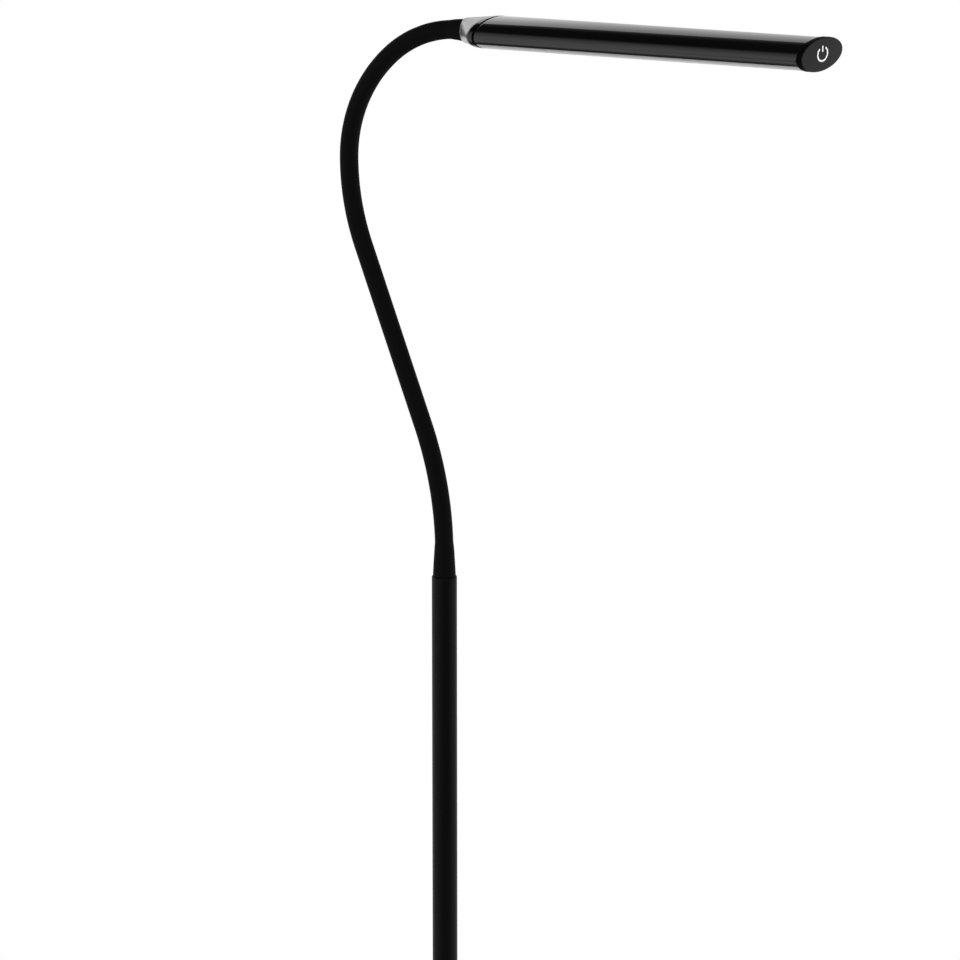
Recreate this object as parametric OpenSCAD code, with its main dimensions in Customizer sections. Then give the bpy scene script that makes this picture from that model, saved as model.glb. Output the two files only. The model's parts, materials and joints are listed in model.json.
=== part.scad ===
// Floor lamp: round weighted base, two-part pole, gooseneck and a slim oval LED head with a touch cap.
// Millimetres. The origin is the centre of the base's underside on the floor, +Z is up,
// and the head points along +X.

/* [Base] */
// Outer diameter of the base
base_d = 230; // [180:5:300]
// Height of the base cover at its centre, above the floor
base_h = 22; // [20:1:32]
// Height of the base cover's upright rim
rim_h = 10; // [9:0.5:11]
// Radius that rounds the base cover's shoulder
shoulder_r = 6; // [4:0.5:7]
// Sheet thickness of the base cover
cover_t = 1.5; // [1:0.1:2]
// Thickness of the foam pad under the base
pad_t = 2; // [1:0.25:3]
// Thickness of the cast weight
weight_t = 12; // [11:0.5:13]
// Inner diameter of the cord gland
gland_bore_d = 6.2; // [5:0.1:6.6]

/* [Pole] */
// Outer diameter of the pole
pole_d = 16; // [15.6:0.2:20]
// Wall of the pole tubes
pole_wall = 1.2; // [0.8:0.1:1.4]
// Length of each of the two pole tubes
pole_len = 460; // [300:10:600]
// Length of the threaded inserts in the pole tubes
insert_len = 18; // [12:1:30]
// Outer diameter of the hollow threaded studs
stud_d = 10; // [8.6:0.2:10.4]
// Inner diameter of the hollow threaded studs
stud_bore_d = 6.5; // [6.3:0.1:7.5]

/* [Neck] */
// Outer diameter of the neck sleeve
sleeve_d = 11.7; // [11.2:0.1:12.4]
// Wall of the neck sleeve
sleeve_wall = 0.85; // [0.7:0.05:0.9]
// Diameter of the flared foot of the sleeve on the pole's rim
foot_flare_d = 14.6; // [13.4:0.1:15.4]
// Length of the flared foot
foot_flare_len = 22; // [14:1:26]
// Diameter of the flared head end of the sleeve
head_flare_d = 13.9; // [12.4:0.1:14.8]
// Length of the flared head end
head_flare_len = 10; // [5:1:16]
// Upright run of the neck above the pole's rim
foot_run = 15; // [12:1:40]
// Bend radius of the neck where it leans back
lean_r = 230; // [150:5:300]
// Angle at which the neck leans back
lean_deg = 20.7; // [10:0.1:30]
// Straight run of the leaning neck
lean_run = 119.3; // [60:0.1:160]
// Bend radius of the neck where it comes upright again
rise_r = 155; // [120:5:300]
// Bend radius of the lower part of the neck's crown
crown_r = 89; // [60:1:110]
// Angle that the lower part of the crown turns through
crown_deg = 50; // [30:1:60]
// Bend radius of the upper part of the crown
crown_top_r = 72; // [60:1:100]
// Straight run of the neck before the collar
tail_run = 4.2; // [2:0.1:12]
// Outer diameter of the flexible core
core_d = 9; // [8:0.1:9]
// Diameter of the wire bore through the core
wire_bore_d = 4; // [3.6:0.1:4.4]
// Stiff length of the core at each end of the neck
stiff_end = 34; // [30:1:44]

/* [Head] */
// Width of the oval head
head_w = 60; // [54:1:80]
// Thickness of the oval head
head_t = 19; // [18.6:0.2:24]
// Length of the housing between its two end caps
housing_len = 212.5; // [160:0.5:300]
// Wall of the housing
housing_wall = 1.6; // [1.2:0.1:1.8]
// Height of the housing's lower edge below the middle of the oval
housing_edge = 4.4; // [4:0.1:5.4]
// Wall of the diffuser
diffuser_t = 2.2; // [2:0.1:2.4]
// Length of the collar
collar_len = 16; // [10:0.5:24]
// Diameter of the collar's round end at the neck
collar_d = 15.4; // [14:0.1:17]
// Width of the collar's oval end
collar_w = 57.6; // [40:0.2:59]
// Thickness of the collar's oval end
collar_t = 18.4; // [17:0.1:18.6]
// Length of the rear cap
rear_cap_len = 5.5; // [4:0.5:12]
// Length over which the rear cap rounds out to the full oval
rear_round = 1.5; // [0.8:0.1:2.5]
// Width of the groove between the rear cap and the housing
seam_w = 1.5; // [0.4:0.1:1.8]
// Depth of the groove between the rear cap and the housing
seam_depth = 1.1; // [0.4:0.1:1.2]
// Thickness of the end cap
end_cap_t = 4; // [3:0.5:6]
// How far the end cap's edge stands out past the housing
cap_lip = 0.4; // [0:0.1:1]
// Length of the spigots that hold the caps in the housing
spigot_len = 7; // [5:0.5:10]
// Thickness of the metal carrier of the lights
carrier_t = 2; // [1:0.5:2.5]
// Width of the light board
board_w = 20; // [14:1:30]
// Distance between the lights along the board
led_pitch = 9; // [6:1:15]

/* [Hidden] */
$fn = 64;
// Gap of parts that are pressed or screwed together
fit_gap = 0.05;
// Gap between pieces that bend past each other
bend_gap = 0.35;
// Gap of pieces that are only set in place
set_gap = 0.2;

base_r = base_d / 2;
pole_r = pole_d / 2;
pole_bore_r = pole_r - pole_wall;
stud_r = stud_d / 2;
stud_bore_r = stud_bore_d / 2;
sleeve_r = sleeve_d / 2;
sleeve_bore_r = sleeve_r - sleeve_wall;
core_r = core_d / 2;
wire_bore_r = wire_bore_d / 2;
wire_r = wire_bore_r - 0.4;
pole_joint_z = base_h + pole_len;
pole_top_z = pole_joint_z + pole_len;

// Base: the weight hangs from the cover by a hub, a nut and a washer in a pocket below
weight_gap = 3;
weight_r = base_r - cover_t - weight_gap;
weight_edge = 3;
hub_r = 17;
hub_roof = 4;
hub_top_z = base_h - cover_t;
pocket_r = 13;
pocket_top_z = hub_top_z - hub_roof;
washer_r = 12;
washer_t = 1.5;
nut_t = 5;
nut_af = 15;
stud_end = 0.5;
stud_recess = 1;
gland_wall = 1.4;
gland_r = gland_bore_d / 2 + gland_wall;
gland_flange_r = gland_r + 0.4;
gland_flange_t = 1.5;
gland_len = 14;
gland_z = pad_t + rim_h / 2;
channel_w = 2 * gland_r + 1;
channel_top_z = gland_z + gland_r + 0.4;
terminal_x = 65;
terminal_size = [22, 13, 9];
terminal_screw_r = 1.8;
terminal_screw_pitch = 10;
base_lead_z = pad_t + wire_r + 0.4;
base_lead_bend_r = 6;

// Neck: pieces of its centre line as [length, signed bend radius], 0 for a straight run
neck_line = [
    [foot_run, 0],
    [lean_r * lean_deg * PI / 180, -lean_r],
    [lean_run, 0],
    [rise_r * lean_deg * PI / 180, rise_r],
    [crown_r * crown_deg * PI / 180, crown_r],
    [crown_top_r * (90 - crown_deg) * PI / 180, crown_top_r],
    [tail_run, 0]
];

// A place on a centre line is [x, z, tilt from +Z towards +X]
function step(pose, length, r) =
    let (tilt = pose[2] + (r == 0 ? 0 : length / r * 180 / PI))
    r == 0
        ? [pose[0] + length * sin(tilt), pose[1] + length * cos(tilt), tilt]
        : [pose[0] + r * (cos(pose[2]) - cos(tilt)), pose[1] + r * (sin(tilt) - sin(pose[2])), tilt];
function start_of(line, i) = i == 0 ? 0 : start_of(line, i - 1) + line[i - 1][0];
function pose_of(foot, line, i) =
    i == 0 ? foot : step(pose_of(foot, line, i - 1), line[i - 1][0], line[i - 1][1]);

neck_foot = [0, pole_top_z, 0];
neck_len = start_of(neck_line, len(neck_line));
neck_end = pose_of(neck_foot, neck_line, len(neck_line));
function piece_at(s) = max([0, for (i = [0 : len(neck_line) - 1]) if (s >= start_of(neck_line, i)) i]);
function pose_at(s) =
    let (i = piece_at(s))
    step(pose_of(neck_foot, neck_line, i), s - start_of(neck_line, i), neck_line[i][1]);

// The core bends at evenly spaced joints, in the neck's plane and across it by turns
joint_count = 12;
link_count = joint_count + 1;
joint_pitch = (neck_len - 2 * stiff_end) / (joint_count - 1);
joint_at = [for (j = [0 : joint_count - 1]) stiff_end + j * joint_pitch];
ball_r = core_r - 0.3;
ball_setback = 2.2;
bowl_r = ball_r + bend_gap;
bowl_setback = 1.8;

// Ferrules on both ends of the core
ferrule_wall = 0.85;
ferrule_bore_r = core_r + fit_gap;
ferrule_r = ferrule_bore_r + ferrule_wall;
ferrule_seat = 24;
ferrule_rise = 8;

// Head: drawn from the collar's round end, with x along the head
head_a = head_w / 2;
head_b = head_t / 2;
rear_cap_x = collar_len;
housing_x = rear_cap_x + rear_cap_len;
end_cap_x = housing_x + housing_len;
cap_edge = 0.8;
bore_a = head_a - housing_wall;
bore_b = head_b - housing_wall;
rail_t = 1.2;
rail_depth = 3.5;
carrier_z = 0.5;
carrier_a = bore_a * sqrt(1 - pow((carrier_z + carrier_t) / bore_b, 2)) - 0.3;
carrier_gap = 4;
spigot_z = carrier_z + set_gap;
tongue_t = 1.2;
tongue_h = 2;
board_t = 1.2;
board_end = 4;
led_size = [3.5, 2.8, 0.8];
screw_r = 1.25;
screw_head_r = 2.4;
screw_head_t = 1.2;
head_nut_af = 13;
head_nut_t = 4;
ferrule_tail = housing_x + spigot_len + head_nut_t + 1;
core_tail = 10;
electrode_r = 3.2;
electrode_t = 0.8;
electrode_z = spigot_z + electrode_r + set_gap;
head_lead_z = carrier_z + carrier_t + wire_r + set_gap;
head_lead_bend_r = 6;
head_lead_rise_deg = acos(1 - head_lead_z / (2 * head_lead_bend_r));
head_lead_rise_x = ferrule_tail + 1;
carrier_x = head_lead_rise_x + 2 * head_lead_bend_r * sin(head_lead_rise_deg) + 0.5;
carrier_len = end_cap_x - spigot_len - electrode_t - carrier_gap - carrier_x;
control_size = [30, 18, 1.2];
control_x = carrier_x + carrier_len - control_size[0] - 4;
oval_sides = 64;
slice_t = 0.01;

// Shared shapes

module tube(r, bore_r, h) {
    difference() {
        cylinder(r = r, h = h);
        translate([0, 0, -1]) cylinder(r = bore_r, h = h + 2);
    }
}

module hex_nut(af, bore_r, h) {
    difference() {
        cylinder(r = af / sqrt(3), h = h, $fn = 6);
        translate([0, 0, -1]) cylinder(r = bore_r, h = h + 2);
    }
}

// One stretch of a round bar that starts along +Z and bends towards +X when r is positive
module bent_bar(length, r, bar_r) {
    if (r == 0)
        cylinder(r = bar_r, h = length);
    else
        translate([r, 0, 0])
            mirror([r > 0 ? 1 : 0, 0, 0])
                rotate([90, 0, 0])
                    rotate_extrude(angle = length / abs(r) * 180 / PI)
                        translate([abs(r), 0]) circle(r = bar_r);
}

module at_neck(s) {
    pose = pose_at(s);
    translate([pose[0], 0, pose[1]]) rotate([0, pose[2], 0]) children();
}

// A round bar along a centre line, from one distance along it to another.
// Every second stretch is a hair thinner and laps into its neighbours.
module bar_along(foot, line, from, to, bar_r) {
    hair = 0.06;
    lap = 0.5;
    last = len(line) - 1;
    for (i = [0 : last]) {
        thin = i % 2 == 1;
        reach = thin ? lap : 0;
        starts = i == 0 ? from : start_of(line, i);
        ends = i == last ? to : start_of(line, i + 1);
        a = max(from, starts - reach);
        b = min(to, ends + reach);
        pose = step(pose_of(foot, line, i), a - start_of(line, i), line[i][1]);
        if (min(to, ends) - max(from, starts) > hair)
            translate([pose[0], 0, pose[1]])
                rotate([0, pose[2], 0])
                    bent_bar(b - a, line[i][1], bar_r - (thin ? hair : 0));
    }
}

module neck_bar(from, to, bar_r) {
    bar_along(neck_foot, neck_line, from, to, bar_r);
}

module in_head() {
    translate([neck_end[0], 0, neck_end[1]]) children();
}

function oval_points(a, b) =
    [for (k = [0 : oval_sides - 1]) let (t = 360 * k / oval_sides) [a * cos(t), b * sin(t)]];

// A bar of oval section along +X
module oval_bar(a, b, x, length) {
    translate([x, 0, 0]) rotate([90, 0, 90]) linear_extrude(length) polygon(oval_points(a, b));
}

// A box along +X that is centred across the head
module head_box(x, length, width, z, height) {
    translate([x, -width / 2, z]) cube([length, width, height]);
}

module head_rod(x, length, r) {
    translate([x, 0, 0]) rotate([0, 90, 0]) cylinder(r = r, h = length);
}

// Half of the oval bore above the rails, which a cap's spigot fills
module spigot(x, length) {
    intersection() {
        oval_bar(bore_a - set_gap, bore_b - set_gap, x, length);
        head_box(x, length, head_w, spigot_z, head_t);
    }
}

// Base

// Half section of the base cover, drawn in by an inset
function cover_section(inset) =
    let (
        arc_r = shoulder_r - inset,
        arc_x = base_r - shoulder_r,
        arc_z = pad_t + rim_h,
        arc_steps = 8
    )
    concat(
        [[0, pad_t - (inset > 0 ? 1 : 0)], [base_r - inset, pad_t - (inset > 0 ? 1 : 0)]],
        [
            for (k = [0 : arc_steps])
                let (t = 90 * k / arc_steps)
                [arc_x + arc_r * cos(t), arc_z + arc_r * sin(t)]
        ],
        [[hub_r, base_h - inset], [0, base_h - inset]]
    );

module base_cover() {
    color("#1d1d1f")
        difference() {
            rotate_extrude() polygon(cover_section(0));
            rotate_extrude() polygon(cover_section(cover_t));
            cylinder(r = stud_r + set_gap, h = base_h + 1);
            translate([-base_r - 1, 0, gland_z]) rotate([0, 90, 0]) cylinder(r = gland_r + fit_gap, h = 12);
        }
}

module base_weight() {
    color("#4a4a4c")
        difference() {
            union() {
                translate([0, 0, pad_t]) cylinder(r = weight_r, h = weight_t - weight_edge);
                translate([0, 0, pad_t + weight_t - weight_edge])
                    cylinder(r1 = weight_r, r2 = weight_r - weight_edge, h = weight_edge);
                translate([0, 0, pad_t]) cylinder(r = hub_r, h = hub_top_z - pad_t);
            }
            cylinder(r = stud_r + set_gap, h = base_h);
            translate([0, 0, pad_t - 1]) cylinder(r = pocket_r, h = pocket_top_z - pad_t + 1);
            translate([-base_r, -channel_w / 2, pad_t - 1])
                cube([base_r, channel_w, channel_top_z - pad_t + 1]);
            translate([-terminal_x - terminal_size[0] / 2 - 1, -terminal_size[1] / 2 - 1, pad_t - 1])
                cube([terminal_size[0] + 2, terminal_size[1] + 2, channel_top_z - pad_t + 1]);
        }
}

module base_pad() {
    color("#2a2a2a") cylinder(r = weight_r, h = pad_t);
}

module base_washer() {
    color("silver")
        translate([0, 0, pocket_top_z - washer_t]) tube(washer_r, stud_r + set_gap, washer_t);
}

module base_nut() {
    color("silver")
        translate([0, 0, pocket_top_z - washer_t - nut_t]) hex_nut(nut_af, stud_r + fit_gap, nut_t);
}

module base_stud() {
    foot_z = pocket_top_z - washer_t - nut_t + stud_recess;
    color("silver")
        translate([0, 0, foot_z]) tube(stud_r, stud_bore_r, base_h + insert_len - stud_end - foot_z);
}

module cord_gland() {
    color("#151515")
        translate([-base_r, 0, gland_z]) rotate([0, 90, 0])
            difference() {
                union() {
                    translate([0, 0, -gland_flange_t]) cylinder(r = gland_flange_r, h = gland_flange_t);
                    cylinder(r = gland_r, h = gland_len - gland_flange_t);
                }
                translate([0, 0, -gland_flange_t - 1]) cylinder(r = gland_bore_d / 2, h = gland_len + 2);
            }
}

module terminal_block() {
    color("ivory")
        difference() {
            translate([-terminal_x, 0, channel_top_z - terminal_size[2] / 2])
                cube(terminal_size, center = true);
            for (side = [-1, 1])
                translate([-terminal_x + side * terminal_screw_pitch / 2, 0, 0])
                    cylinder(r = terminal_screw_r, h = channel_top_z - terminal_size[2] / 2);
        }
}

// Pole

module lower_pole() {
    color("#1f1f21") translate([0, 0, base_h]) tube(pole_r, pole_bore_r, pole_len);
}

module upper_pole() {
    color("#1f1f21") translate([0, 0, pole_joint_z]) tube(pole_r, pole_bore_r, pole_len);
}

// Threaded inserts: in the foot of the lower tube, and on both sides of the joint between the tubes
module pole_inserts() {
    color("silver")
        for (z = [base_h, pole_joint_z - insert_len - set_gap, pole_joint_z])
            translate([0, 0, z]) tube(pole_bore_r - fit_gap, stud_r + fit_gap, insert_len);
}

module joint_stud() {
    color("silver")
        translate([0, 0, pole_joint_z - insert_len + stud_end])
            tube(stud_r, stud_bore_r, 2 * (insert_len - stud_end));
}

module pole_top_bush() {
    color("silver")
        translate([0, 0, pole_top_z - ferrule_seat])
            tube(pole_bore_r - fit_gap, ferrule_r + fit_gap, ferrule_seat);
}

// Inner lead: from the terminal block along the base's channel and up the pole
module pole_lead() {
    lead_x = terminal_x - terminal_size[0] / 2;
    line = [
        [lead_x - base_lead_bend_r, 0],
        [base_lead_bend_r * PI / 2, -base_lead_bend_r],
        [pole_top_z - ferrule_seat - base_lead_z - base_lead_bend_r, 0]
    ];
    color("white") bar_along([-lead_x, base_lead_z, 90], line, 0, start_of(line, len(line)), wire_r);
}

// Neck

module lower_ferrule() {
    color("silver")
        translate([0, 0, pole_top_z - ferrule_seat])
            tube(ferrule_r, ferrule_bore_r, ferrule_seat + ferrule_rise);
}

// One link of the flexible core, with a ball at its upper end and a bowl at its lower end
module core_link(i) {
    first = i == 1;
    last = i == link_count;
    from = first ? -ferrule_seat : joint_at[i - 2];
    to = last ? neck_len + core_tail : joint_at[i - 1];
    color("#8a8d90")
        difference() {
            union() {
                neck_bar(from + (first ? 0 : bowl_setback), to - (last ? 0 : ball_setback), core_r);
                if (!last) at_neck(to) sphere(r = ball_r);
            }
            if (!first) at_neck(from) sphere(r = bowl_r);
            neck_bar(from - 1, to + ball_r + 1, wire_bore_r);
        }
}

// Distances along the neck at which the sleeve has a ring of points
sleeve_ring_gap = 8;
sleeve_sides = 20;
flare_rings = 6;
bend_rings = [
    for (i = [0 : len(neck_line) - 1])
        let (count = neck_line[i][1] == 0 ? 1 : ceil(neck_line[i][0] / sleeve_ring_gap))
            for (k = [0 : count - 1]) start_of(neck_line, i) + neck_line[i][0] * k / count
];
foot_rings = [for (k = [0 : flare_rings]) foot_flare_len * k / flare_rings];
head_rings = [for (k = [0 : flare_rings]) neck_len - head_flare_len * (1 - k / flare_rings)];
seat_top = ferrule_rise + bend_gap;
flare_power = 0.75;
function swell(share) = pow(max(0, 1 - share), flare_power);
function sleeve_out_r(s) =
    sleeve_r
    + (foot_flare_d / 2 - sleeve_r) * swell(s / foot_flare_len)
    + (head_flare_d / 2 - sleeve_r) * swell((neck_len - s) / head_flare_len);
function between(list, low, high) = [for (s = list) if (s > low && s < high) s];
outer_rings = concat(foot_rings, between(bend_rings, foot_flare_len, neck_len - head_flare_len), head_rings);
inner_rings = between(bend_rings, seat_top, neck_len);
sleeve_rings = concat(
    [for (s = outer_rings) [s, sleeve_out_r(s)]],
    [[neck_len, sleeve_bore_r]],
    [for (k = [1 : len(inner_rings)]) [inner_rings[len(inner_rings) - k], sleeve_bore_r]],
    [[seat_top, sleeve_bore_r], [seat_top, ferrule_r + bend_gap], [0, ferrule_r + bend_gap]]
);

// A point on a ring round the neck, with its angle measured from the inside of the crown
function ring_point(s, r, angle) =
    let (pose = pose_at(s))
    [pose[0] + r * cos(angle) * cos(pose[2]), r * sin(angle), pose[1] - r * cos(angle) * sin(pose[2])];

// Flexible sleeve over the core: a tube swept along the neck, flared at both ends
module neck_sleeve() {
    count = len(sleeve_rings);
    points = [
        for (ring = sleeve_rings)
            for (k = [0 : sleeve_sides - 1]) ring_point(ring[0], ring[1], 360 * k / sleeve_sides)
    ];
    faces = [
        for (i = [0 : count - 1])
            for (k = [0 : sleeve_sides - 1])
                let (
                    j = (i + 1) % count,
                    m = (k + 1) % sleeve_sides,
                    a = i * sleeve_sides + k,
                    b = i * sleeve_sides + m,
                    c = j * sleeve_sides + m,
                    d = j * sleeve_sides + k
                )
                    for (face = [[a, c, b], [a, d, c]]) face
    ];
    color("#151516") polyhedron(points, faces);
}

module neck_lead() {
    color("white") neck_bar(-ferrule_seat, neck_len + core_tail, wire_r);
}

module upper_ferrule() {
    color("silver") in_head() rotate([0, 90, 0]) tube(ferrule_r, ferrule_bore_r, ferrule_tail);
}

// Head

module oval_slice(a, b, x) {
    oval_bar(a, b, x, slice_t);
}

// Collar between the round neck and the oval head
module neck_collar() {
    flare_at = [0, 0.35, 0.7, 1];
    flare_share = [0, 0.38, 0.74, 1];
    color("#d8d8da")
        in_head()
            difference() {
                for (k = [0 : len(flare_at) - 2])
                    hull()
                        for (m = [k, k + 1])
                            oval_slice(
                                (collar_d + (collar_w - collar_d) * flare_share[m]) / 2,
                                (collar_d + (collar_t - collar_d) * flare_share[m]) / 2,
                                (collar_len - slice_t) * flare_at[m]
                            );
                head_rod(-1, collar_len + 2, ferrule_r + fit_gap);
            }
}

module rear_cap() {
    round_at = [0, 0.3, 0.65, 1];
    color("#0c0c0d")
        in_head()
            difference() {
                union() {
                    for (k = [0 : len(round_at) - 2])
                        hull()
                            for (m = [k, k + 1])
                                oval_slice(
                                    collar_w / 2 + (head_a - collar_w / 2) * sin(90 * round_at[m]),
                                    collar_t / 2 + (head_b - collar_t / 2) * sin(90 * round_at[m]),
                                    rear_cap_x + rear_round * round_at[m]
                                );
                    oval_bar(head_a, head_b, rear_cap_x + rear_round, rear_cap_len - rear_round - seam_w);
                    oval_bar(head_a - seam_depth, head_b - seam_depth, housing_x - 2 * seam_w, 2 * seam_w);
                    spigot(housing_x - seam_w, spigot_len + seam_w);
                }
                head_rod(rear_cap_x - 1, rear_cap_len + spigot_len + 2, ferrule_r + fit_gap);
            }
}

module ferrule_nut() {
    color("silver")
        in_head()
            translate([housing_x + spigot_len, 0, 0])
                rotate([0, 90, 0]) rotate([0, 0, 30]) hex_nut(head_nut_af, ferrule_r + fit_gap, head_nut_t);
}

module head_housing() {
    color("#0c0c0d")
        in_head()
            difference() {
                oval_bar(head_a, head_b, housing_x, housing_len);
                difference() {
                    oval_bar(bore_a, bore_b, housing_x - 1, housing_len + 2);
                    for (side = [-1, 1])
                        translate([housing_x, side * (carrier_a - rail_depth / 2 + 1), carrier_z - rail_t / 2])
                            cube([3 * housing_len, rail_depth + 2, rail_t], center = true);
                }
                head_box(housing_x - 1, housing_len + 2, head_w + 2, -head_t, head_t - housing_edge);
            }
}

module diffuser() {
    color("#f2f2ee")
        in_head()
            difference() {
                union() {
                    intersection() {
                        oval_bar(head_a, head_b, housing_x, housing_len);
                        head_box(housing_x, housing_len, head_w, -head_t, head_t - housing_edge - set_gap / 2);
                    }
                    intersection() {
                        oval_bar(bore_a - set_gap, bore_b - set_gap, housing_x, housing_len);
                        head_box(housing_x, housing_len, head_w, -head_t, head_t - housing_edge + tongue_h);
                    }
                }
                oval_bar(bore_a - set_gap - tongue_t, head_b - diffuser_t, housing_x - 1, housing_len + 2);
            }
}

module led_carrier() {
    color("#c4c6c8")
        in_head()
            difference() {
                head_box(carrier_x, carrier_len, 2 * carrier_a, carrier_z, carrier_t);
                screw_places() cylinder(r = screw_r + fit_gap, h = head_t, center = true);
            }
}

module led_board() {
    color("white")
        in_head()
            difference() {
                head_box(
                    carrier_x + board_end,
                    carrier_len - 2 * board_end,
                    board_w,
                    carrier_z - board_t,
                    board_t
                );
                screw_places() cylinder(r = screw_r + fit_gap, h = head_t, center = true);
            }
}

module screw_places() {
    screw_count = 3;
    margin = board_end + 3;
    for (k = [0 : screw_count - 1])
        translate([carrier_x + margin + k * (carrier_len - 2 * margin) / (screw_count - 1), 0, 0]) children();
}

// Lights in two rows, one each side of the screws
module leds() {
    row_y = board_w / 4;
    length = carrier_len - 2 * board_end - led_pitch;
    count = floor(length / led_pitch) + 1;
    start = carrier_x + carrier_len / 2 - (count - 1) * led_pitch / 2;
    color("#f4e9a8")
        in_head()
            for (k = [0 : count - 1])
                for (side = [-1, 1])
                    translate([
                        start + k * led_pitch - led_size[0] / 2,
                        side * row_y - led_size[1] / 2,
                        carrier_z - board_t - led_size[2]
                    ])
                        cube(led_size);
}

module board_screws() {
    length = board_t + carrier_t - set_gap;
    color("silver")
        in_head()
            screw_places()
                translate([0, 0, carrier_z - board_t]) {
                    cylinder(r = screw_r, h = length);
                    translate([0, 0, -screw_head_t]) cylinder(r = screw_head_r, h = screw_head_t);
                }
}

module control_board() {
    chip = [7, 7, 1.1];
    chip_x = 14;
    coil_r = 2.4;
    coil_h = 2;
    coil_at = [7, 5];
    top_z = carrier_z + carrier_t + control_size[2];
    color("#1e6b3a")
        in_head() {
            head_box(control_x, control_size[0], control_size[1], carrier_z + carrier_t, control_size[2]);
            head_box(control_x + chip_x, chip[0], chip[1], top_z, chip[2]);
            translate([control_x + coil_at[0], coil_at[1], top_z]) cylinder(r = coil_r, h = coil_h);
        }
}

// Sensing disc behind the end cap
module touch_electrode() {
    color("#b87333")
        in_head()
            translate([end_cap_x - spigot_len, 0, electrode_z])
                rotate([0, -90, 0])
                    cylinder(r = electrode_r, h = electrode_t);
}

module end_cap() {
    lip_a = head_a + cap_lip;
    lip_b = head_b + cap_lip;
    color("#3a3a3c")
        in_head() {
            oval_bar(lip_a, lip_b, end_cap_x, end_cap_t - cap_edge);
            hull() {
                oval_slice(lip_a, lip_b, end_cap_x + end_cap_t - cap_edge - slice_t);
                oval_slice(lip_a - cap_edge, lip_b - cap_edge, end_cap_x + end_cap_t - slice_t);
            }
            spigot(end_cap_x - spigot_len, spigot_len + 0.5);
        }
}

// Inner lead in the head: from the neck up onto the carrier and along it to the control board
module head_lead() {
    rise_len = head_lead_bend_r * head_lead_rise_deg * PI / 180;
    line = [
        [head_lead_rise_x - core_tail, 0],
        [rise_len, -head_lead_bend_r],
        [rise_len, head_lead_bend_r],
        [control_x - head_lead_rise_x - 2 * head_lead_bend_r * sin(head_lead_rise_deg), 0]
    ];
    color("white") in_head() bar_along([core_tail, 0, 90], line, 0, start_of(line, len(line)), wire_r);
}

base_cover();
base_weight();
base_pad();
base_stud();
base_washer();
base_nut();
cord_gland();
terminal_block();
lower_pole();
upper_pole();
pole_inserts();
joint_stud();
pole_top_bush();
pole_lead();
lower_ferrule();
for (i = [1 : link_count])
    core_link(i);
neck_sleeve();
neck_lead();
upper_ferrule();
neck_collar();
rear_cap();
ferrule_nut();
head_housing();
diffuser();
led_carrier();
led_board();
leds();
board_screws();
control_board();
touch_electrode();
end_cap();
head_lead();
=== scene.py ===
# Floor lamp: smooth pieces, finishes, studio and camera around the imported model
import json
import math

import bmesh
import bpy
from mathutils import Matrix, Vector


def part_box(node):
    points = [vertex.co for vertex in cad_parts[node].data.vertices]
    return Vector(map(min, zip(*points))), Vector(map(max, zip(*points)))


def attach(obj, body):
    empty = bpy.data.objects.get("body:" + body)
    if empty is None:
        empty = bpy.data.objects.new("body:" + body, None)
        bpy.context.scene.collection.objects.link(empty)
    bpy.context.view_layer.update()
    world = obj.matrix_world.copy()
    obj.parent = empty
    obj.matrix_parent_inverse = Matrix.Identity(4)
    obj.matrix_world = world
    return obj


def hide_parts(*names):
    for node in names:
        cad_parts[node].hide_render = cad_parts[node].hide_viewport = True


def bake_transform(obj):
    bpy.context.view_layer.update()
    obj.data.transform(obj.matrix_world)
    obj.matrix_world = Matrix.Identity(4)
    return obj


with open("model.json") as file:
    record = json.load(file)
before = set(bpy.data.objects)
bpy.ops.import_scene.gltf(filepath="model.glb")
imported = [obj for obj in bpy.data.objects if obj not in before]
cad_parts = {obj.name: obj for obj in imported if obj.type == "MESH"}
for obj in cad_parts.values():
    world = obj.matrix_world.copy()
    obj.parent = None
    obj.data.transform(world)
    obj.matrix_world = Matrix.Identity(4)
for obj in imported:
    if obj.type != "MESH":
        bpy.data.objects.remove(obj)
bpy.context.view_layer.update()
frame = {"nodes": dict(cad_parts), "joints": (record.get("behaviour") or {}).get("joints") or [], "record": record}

MM = 0.001
STAND_BODY = "stand"
HEAD_BODY = "head"

# Neck centre line, from the rim of the pole: the angles and radii of its bends
POLE_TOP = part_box("upper_pole")[1].z
LEAN = math.radians(20.7)
CROWN = math.radians(50)
LEAN_R = 230 * MM
RISE_R = 155 * MM
CROWN_R = 89 * MM
CROWN_TOP_R = 72 * MM

# Length of each run of the neck and its radius: 0 is straight, below 0 bends away from the head
NECK_RUNS = (
    (15 * MM, 0),
    (LEAN_R * LEAN, -LEAN_R),
    (119.3 * MM, 0),
    (RISE_R * LEAN, RISE_R),
    (CROWN_R * CROWN, CROWN_R),
    (CROWN_TOP_R * (math.pi / 2 - CROWN), CROWN_TOP_R),
    (4.2 * MM, 0),
)
NECK_LEN = sum(length for length, radius in NECK_RUNS)

# Joints of the neck's core, evenly spread between its stiff ends
JOINTS = len(frame["joints"])
STIFF_END = 34 * MM
JOINT_PITCH = (NECK_LEN - 2 * STIFF_END) / (JOINTS - 1)
JOINT_AT = [STIFF_END + k * JOINT_PITCH for k in range(JOINTS)]


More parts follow.
